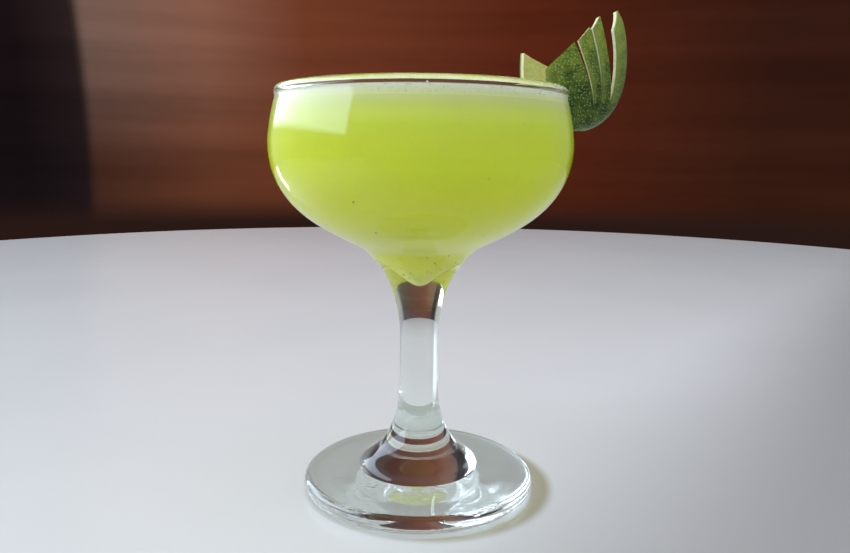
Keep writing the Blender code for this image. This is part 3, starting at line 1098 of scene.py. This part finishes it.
# %% Keep the cut shape, and put the knife away


def settle(piece):
    """Replaces a piece's mesh by what its modifiers make of it."""
    graph = bpy.context.evaluated_depsgraph_get()
    mesh = bpy.data.meshes.new_from_object(piece.evaluated_get(graph))
    piece.modifiers.clear()
    piece.data = mesh


settle(peel)
bpy.data.objects.remove(knife, do_unlink=True)
peel.data.shade_smooth()
peel.data.set_sharp_from_angle(angle=SHARP_FROM)
print("faces after the cut:", len(peel.data.polygons))

# %% [markdown]
# ## The finish of the peel
#
# Lime skin is waxy, dark green and dotted with oil glands about a millimetre apart. The pith
# is pale, and palest where it is freshly cut. The skin's colour drifts from deep green on
# the wide part to a yellower green on the fingers. The left side of each finger gets painted
# light, a lighter colour where the light from the left would fall on a rounded finger. A
# plain noise would spread the glands over the cuts, so the dots come from a cell pattern laid
# along the skin, and the corners' own maps say where skin, pith and cut edge are.

# %% Green waxy skin, with painted light on the fingers' left sides
GLANDS_PER_MM = 1.35
SKIN_TURNS_FRESH = (121.0, 141.0)
PAINTED_LIGHT_SHARE = 0.45
PAINTED_LIGHT_COLOUR = (0.34, 0.42, 0.07)
GLAND_COLOUR = (0.34, 0.44, 0.15)

skin_finish, tree, shader = new_finish("lime skin")
place = add_node(tree, "ShaderNodeUVMap", uv_map="skin")
glands = add_node(tree, "ShaderNodeTexVoronoi", {"Scale": GLANDS_PER_MM, "Randomness": 0.9},
                  voronoi_dimensions="2D")
tree.links.new(place.outputs["UV"], glands.inputs["Vector"])
dots = share_ramp(tree, glands.outputs["Distance"], (0.10, 1.0), (0.40, 0.0))
some = add_node(tree, "ShaderNodeSeparateColor")
tree.links.new(glands.outputs["Color"], some.inputs[0])
bold = multiplied(tree, dots, some.outputs[0])
mottle = share_ramp(tree, grain(tree, 330.0, 4.0), (0.35, 0.0), (0.65, 1.0))
deep = blend_colours(tree, mottle, (0.018, 0.052, 0.004), (0.085, 0.150, 0.010))
fresh = blend_colours(tree, mottle, (0.075, 0.150, 0.010), (0.230, 0.310, 0.026))
ground = blend_colours(tree, height_share(tree, *SKIN_TURNS_FRESH), deep, fresh)
side = add_node(tree, "ShaderNodeUVMap", uv_map="across")
side_parts = add_node(tree, "ShaderNodeSeparateXYZ")
tree.links.new(side.outputs["UV"], side_parts.inputs[0])
# Painted light: the left half of each finger is blended towards a lighter colour.
painted_light_share = add_node(tree, "ShaderNodeMapRange",
               {"From Min": 0.5, "From Max": 0.0, "To Max": PAINTED_LIGHT_SHARE})
tree.links.new(side_parts.outputs["X"], painted_light_share.inputs["Value"])
with_painted_light = blend_colours(tree, painted_light_share.outputs[0], ground, PAINTED_LIGHT_COLOUR)
spotted = blend_colours(tree, bold, with_painted_light, GLAND_COLOUR)
tree.links.new(spotted, shader.inputs["Base Color"])
bump(tree, shader, dots, 0.3, 0.0001)
shader.inputs["Roughness"].default_value = 0.33
shader.inputs["Specular IOR Level"].default_value = 0.3
print("nodes in the skin:", len(tree.nodes))

# %% Pale pith, paler on the cut edges and green close under the skin
CUT_COLOUR = (0.80, 0.84, 0.58)
UNDER_SKIN_COLOUR = (0.16, 0.25, 0.03)

pith_finish, tree, shader = new_finish("lime pith")
fibre = grain(tree, 700.0, 4.0, 0.6)
pith = ramp(tree, fibre, [(0.3, (0.54, 0.57, 0.19)), (0.7, (0.70, 0.72, 0.34))])
cut = add_node(tree, "ShaderNodeUVMap", uv_map="cut")
cut_parts = add_node(tree, "ShaderNodeSeparateXYZ")
tree.links.new(cut.outputs["UV"], cut_parts.inputs[0])
on_edge = blend_colours(tree, cut_parts.outputs["Y"], pith, CUT_COLOUR)
under_skin = ranged(tree, cut_parts.outputs["X"], 0.5, 0.85)
edged = blend_colours(tree, under_skin, on_edge, UNDER_SKIN_COLOUR)
tree.links.new(edged, shader.inputs["Base Color"])
bump(tree, shader, fibre, 0.4, 0.0002)
shader.inputs["Roughness"].default_value = 0.55
shader.inputs["Subsurface Weight"].default_value = 0.3
shader.inputs["Subsurface Scale"].default_value = 0.0015
print("nodes in the pith:", len(tree.nodes))

# %% The map of the cut edges, and both finishes on the peel
layers = [face.material_index for face in peel.data.polygons]
outer = {corner for face in peel.data.polygons if face.material_index == 0
         for corner in face.vertices}
cut_map = peel.data.uv_layers.new(name="cut")
for face in peel.data.polygons:
    is_edge = any(corner in outer for corner in face.vertices)
    for index in face.loop_indices:
        at_skin = 1.0 if peel.data.loops[index].vertex_index in outer else 0.0
        cut_map.data[index].uv = (at_skin, float(is_edge))
dress(peel, skin_finish, "lime_peel")
peel.data.materials.append(pith_finish)
for face, layer in zip(peel.data.polygons, layers):
    face.material_index = min(layer, 1)
print("pith faces:", sum(1 for layer in layers if layer))
